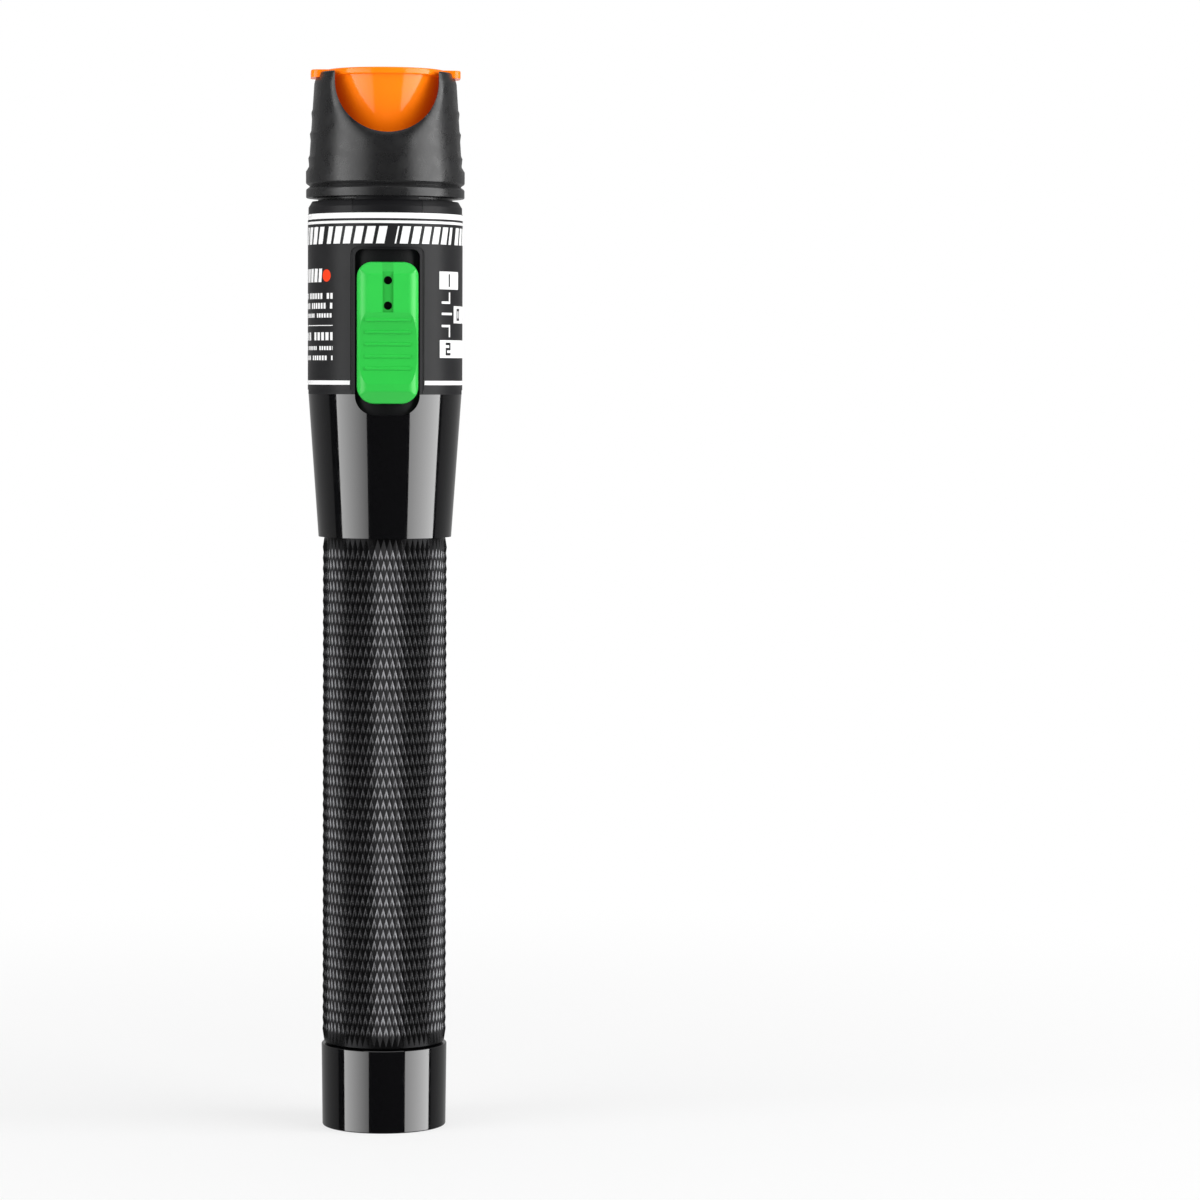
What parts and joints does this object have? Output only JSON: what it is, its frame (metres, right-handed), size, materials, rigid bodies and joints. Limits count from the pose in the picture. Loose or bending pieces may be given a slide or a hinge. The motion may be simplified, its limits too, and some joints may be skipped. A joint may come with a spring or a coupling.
{
  "type": "visual fault locator",
  "caption": "Pen-shaped visual fault locator: knurled battery tube, screwed tail cap, thumb slider, and a notched head with a ferrule port under a pull-off dust cap.",
  "frame": {"origin": "centre of the tail cap's flat end face, which the pen stands on", "axes": "+Z along the pen's axis towards the ferrule port; -Y towards the thumb slider"},
  "size_m": [0.0262, 0.0275, 0.175],
  "materials": {
    "gloss_black_enamel": "gloss",
    "seal_rubber": "matte",
    "nickel_plate": "polished",
    "spring_steel": "satin",
    "cell_jacket": "gloss",
    "black_anodised": "satin",
    "holder_nylon": "matte",
    "contact_brass": "satin",
    "matte_black_shell": "satin",
    "printed_film": "satin",
    "bezel_black": "satin",
    "green_slider": "satin",
    "switch_housing": "satin",
    "lever_white": "matte",
    "frame_grey": "matte",
    "board_green": "satin",
    "screw_steel": "satin",
    "chip_black": "matte",
    "component_tan": "satin",
    "barrel_brass": "satin",
    "diode_gold": "polished",
    "lens_glass": "polished",
    "port_nickel": "polished",
    "zirconia": "polished",
    "crown_black": "satin",
    "orange_cap": "satin"
  },
  "bodies": {
    "body": {"grip_tube": "black_anodised", "battery_rear": "cell_jacket", "battery_front": "cell_jacket", "front_contact": "nickel_plate", "contact_holder": "holder_nylon", "contact_lead": "contact_brass", "cone_sleeve": "gloss_black_enamel", "upper_body": "matte_black_shell", "label_wrap": "printed_film", "switch_bezel": "bezel_black", "slide_switch": "switch_housing", "inner_frame": "frame_grey", "circuit_board": "board_green", "board_screws": "screw_steel", "driver_chip": "chip_black", "board_components": "component_tan", "laser_barrel": "barrel_brass", "laser_diode": "diode_gold", "collimating_lens": "lens_glass", "ferrule_port": "port_nickel", "ceramic_sleeve": "zirconia", "port_screws": "screw_steel", "head_crown": "crown_black"},
    "tail_spring": {"tail_spring": "spring_steel", "tail_contact": "nickel_plate"},
    "tail_cap": {"tail_cap": "gloss_black_enamel", "tail_o_ring": "seal_rubber"},
    "slider": {"switch_slider": "green_slider", "switch_lever": "lever_white"},
    "dust_cap": {"dust_cap": "orange_cap"}
  },
  "joints": [
    {"name": "dust_cap_pull", "type": "slide", "parent": "body", "child": "dust_cap", "axis": [0, 0, 1], "range_m": [0, 0.045]},
    {"name": "switch_slide", "type": "slide", "parent": "body", "child": "slider", "axis": [0, 0, 1], "range_m": [-0.0018, 0.0018]},
    {"name": "tail_cap_draw", "type": "slide", "parent": "body", "child": "tail_spring", "axis": [0, 0, -1], "range_m": [0, 0.005]},
    {"name": "tail_cap_turn", "type": "hinge", "parent": "tail_spring", "child": "tail_cap", "pos_m": [0, 0, 0], "axis": [0, 0, -1], "range_deg": [0, 1800]}
  ],
  "couplings": [
    {"joint": "tail_cap_draw", "follows": "tail_cap_turn", "m_per_rad": 0.00015915}
  ]
}
